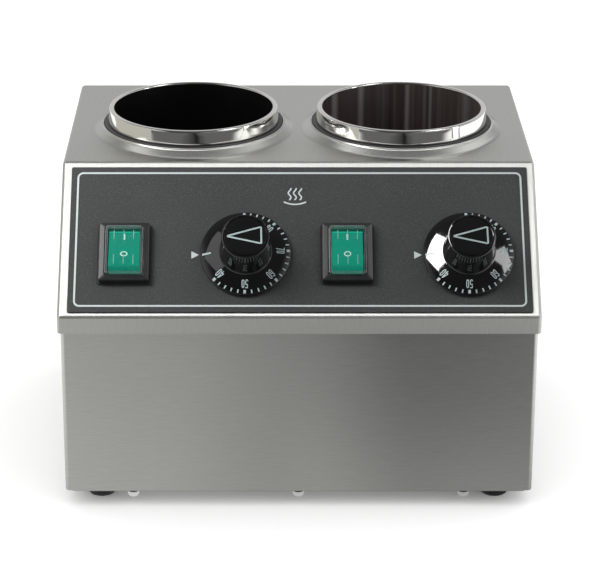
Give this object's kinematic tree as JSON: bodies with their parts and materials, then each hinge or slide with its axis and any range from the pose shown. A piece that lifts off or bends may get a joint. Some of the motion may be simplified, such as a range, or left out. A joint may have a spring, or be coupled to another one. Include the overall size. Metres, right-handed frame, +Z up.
{
  "type": "twin-well sauce warmer",
  "caption": "Countertop food warmer: steel case, sloped control panel with dials and rocker switches, and lift-out round pots in heated wells.",
  "frame": {"origin": "centre of the bounding box at its underside: the feet stand on Z = 0", "axes": "+X to the right seen from the front, +Y to the back, +Z up; the controls face -Y"},
  "size_m": [0.27, 0.2372, 0.1988],
  "materials": {
    "top_cover_mat": "brushed, grain running front to back",
    "lower_housing_mat": "brushed, grain running left to right",
    "bottom_plate_mat": "dull mill finish",
    "control_overlay_mat": "fine speckled charcoal film",
    "front_left_screw_mat": "bright zinc",
    "front_middle_screw_mat": "bright zinc",
    "front_right_screw_mat": "bright zinc",
    "front_left_foot_mat": "moulded",
    "front_right_foot_mat": "moulded",
    "rear_left_screw_mat": "bright zinc",
    "rear_middle_screw_mat": "bright zinc",
    "rear_right_screw_mat": "bright zinc",
    "rear_left_foot_mat": "moulded",
    "rear_right_foot_mat": "moulded",
    "back_left_screw_mat": "bright zinc",
    "left_well_mat": "dull",
    "left_gasket_mat": "silicone",
    "left_pot_mat": "black non-stick inside, polished rolled rim",
    "left_heater_band_mat": "steel-clad mica band",
    "left_insulation_mat": "ceramic fibre sleeve",
    "left_thermal_cutout_mat": "phenolic",
    "left_knob_mat": "gloss black, pale scale",
    "left_knob_cap_mat": "gloss black, pale outlined pointer",
    "left_spindle_mat": "turned steel",
    "left_thermostat_mat": "plated case",
    "left_capillary_mat": "copper",
    "left_switch_body_mat": "nylon",
    "left_switch_bezel_mat": "satin black",
    "left_rocker_mat": "translucent green",
    "left_splash_cover_mat": "clear flexible moulding",
    "back_right_screw_mat": "bright zinc",
    "right_well_mat": "dull",
    "right_gasket_mat": "silicone",
    "right_pot_mat": "bare steel inside, polished rolled rim",
    "right_heater_band_mat": "steel-clad mica band",
    "right_insulation_mat": "ceramic fibre sleeve",
    "right_thermal_cutout_mat": "phenolic",
    "right_knob_mat": "gloss black, pale scale",
    "right_knob_cap_mat": "gloss black, pale outlined pointer",
    "right_spindle_mat": "turned steel",
    "right_thermostat_mat": "plated case",
    "right_capillary_mat": "copper",
    "right_switch_body_mat": "nylon",
    "right_switch_bezel_mat": "satin black",
    "right_rocker_mat": "translucent green",
    "right_splash_cover_mat": "clear flexible moulding",
    "gland_body_mat": "nylon",
    "gland_dome_nut_mat": "nylon",
    "gland_lock_nut_mat": "nylon",
    "terminal_block_mat": "moulded",
    "earth_stud_mat": "plated"
  },
  "bodies": {
    "case": {"top_cover": "top_cover_mat", "lower_housing": "lower_housing_mat", "bottom_plate": "bottom_plate_mat", "control_overlay": "control_overlay_mat", "front_left_screw": "front_left_screw_mat", "front_middle_screw": "front_middle_screw_mat", "front_right_screw": "front_right_screw_mat", "front_left_foot": "front_left_foot_mat", "front_right_foot": "front_right_foot_mat", "rear_left_screw": "rear_left_screw_mat", "rear_middle_screw": "rear_middle_screw_mat", "rear_right_screw": "rear_right_screw_mat", "rear_left_foot": "rear_left_foot_mat", "rear_right_foot": "rear_right_foot_mat", "back_left_screw": "back_left_screw_mat", "left_well": "left_well_mat", "left_gasket": "left_gasket_mat", "left_heater_band": "left_heater_band_mat", "left_insulation": "left_insulation_mat", "left_thermal_cutout": "left_thermal_cutout_mat", "left_thermostat": "left_thermostat_mat", "left_capillary": "left_capillary_mat", "left_switch_body": "left_switch_body_mat", "left_switch_bezel": "left_switch_bezel_mat", "left_splash_cover": "left_splash_cover_mat", "back_right_screw": "back_right_screw_mat", "right_well": "right_well_mat", "right_gasket": "right_gasket_mat", "right_heater_band": "right_heater_band_mat", "right_insulation": "right_insulation_mat", "right_thermal_cutout": "right_thermal_cutout_mat", "right_thermostat": "right_thermostat_mat", "right_capillary": "right_capillary_mat", "right_switch_body": "right_switch_body_mat", "right_switch_bezel": "right_switch_bezel_mat", "right_splash_cover": "right_splash_cover_mat", "gland_body": "gland_body_mat", "gland_dome_nut": "gland_dome_nut_mat", "gland_lock_nut": "gland_lock_nut_mat", "terminal_block": "terminal_block_mat", "earth_stud": "earth_stud_mat"},
    "left_dial": {"left_knob": "left_knob_mat", "left_knob_cap": "left_knob_cap_mat", "left_spindle": "left_spindle_mat"},
    "left_switch_rocker": {"left_rocker": "left_rocker_mat"},
    "left_lift_out_pot": {"left_pot": "left_pot_mat"},
    "right_dial": {"right_knob": "right_knob_mat", "right_knob_cap": "right_knob_cap_mat", "right_spindle": "right_spindle_mat"},
    "right_switch_rocker": {"right_rocker": "right_rocker_mat"},
    "right_lift_out_pot": {"right_pot": "right_pot_mat"}
  },
  "joints": [
    {"name": "left_knob_turn", "type": "hinge", "parent": "case", "child": "left_dial", "pos_m": [-0.03, -0.09134, 0.1442], "axis": [0, 0.6936, -0.7204], "range_deg": [0, 275]},
    {"name": "left_rocker_tip", "type": "hinge", "parent": "case", "child": "left_switch_rocker", "pos_m": [-0.0981, -0.08939, 0.14261], "axis": [1, 0, 0], "range_deg": [0, 14]},
    {"name": "left_pot_lift", "type": "slide", "parent": "case", "child": "left_lift_out_pot", "axis": [0, 0, 1], "range_m": [0, 0.16]},
    {"name": "right_knob_turn", "type": "hinge", "parent": "case", "child": "right_dial", "pos_m": [0.0951, -0.09134, 0.1442], "axis": [0, 0.6936, -0.7204], "range_deg": [0, 275]},
    {"name": "right_rocker_tip", "type": "hinge", "parent": "case", "child": "right_switch_rocker", "pos_m": [0.0271, -0.08939, 0.14261], "axis": [1, 0, 0], "range_deg": [0, 14]},
    {"name": "right_pot_lift", "type": "slide", "parent": "case", "child": "right_lift_out_pot", "axis": [0, 0, 1], "range_m": [0, 0.16]}
  ]
}
